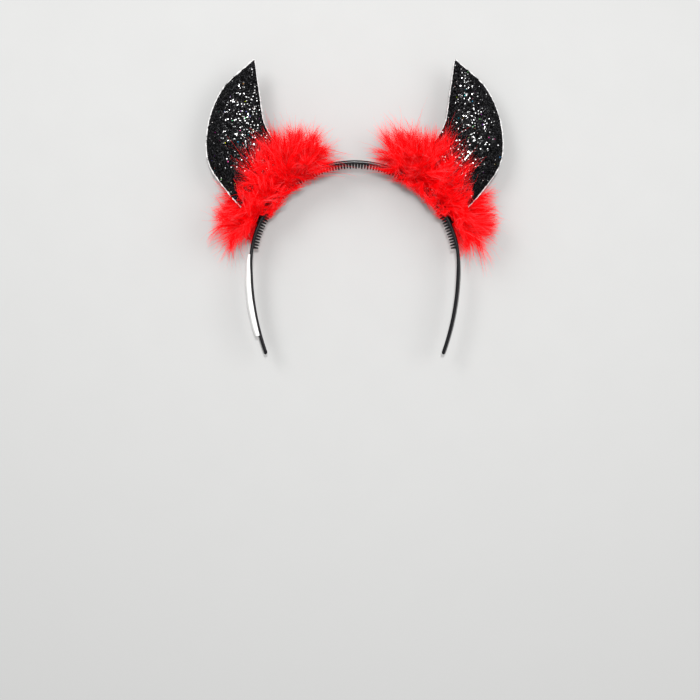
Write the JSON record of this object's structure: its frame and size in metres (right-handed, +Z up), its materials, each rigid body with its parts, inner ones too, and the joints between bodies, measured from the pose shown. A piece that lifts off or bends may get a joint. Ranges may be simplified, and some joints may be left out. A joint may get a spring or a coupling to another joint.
{
  "type": "devil horns headband",
  "caption": "Plastic hair band with comb teeth that holds padded glitter horns, each wound round its base with red marabou feather.",
  "frame": {"origin": "middle of the lowest level of the whole, which lies on its back on the feathers behind the horns", "axes": "+X towards the wearer's left, +Y from the band's tips to the horns' tips, +Z up from the surface it lies on, the way the wearer faces"},
  "size_m": [0.2118, 0.2096, 0.0456],
  "materials": {
    "band_plastic": "gloss black moulded plastic",
    "glitter_cloth": "black glitter cloth with scattered silver flakes",
    "marabou_feather": "soft red feather down",
    "label_paper": "plain white coated paper"
  },
  "bodies": {
    "root": {"headband": "band_plastic", "label": "label_paper", "horn_left_front": "glitter_cloth", "horn_left_back": "glitter_cloth", "horn_right_front": "glitter_cloth", "horn_right_back": "glitter_cloth", "marabou_left": "marabou_feather", "marabou_right": "marabou_feather"}
  },
  "joints": []
}
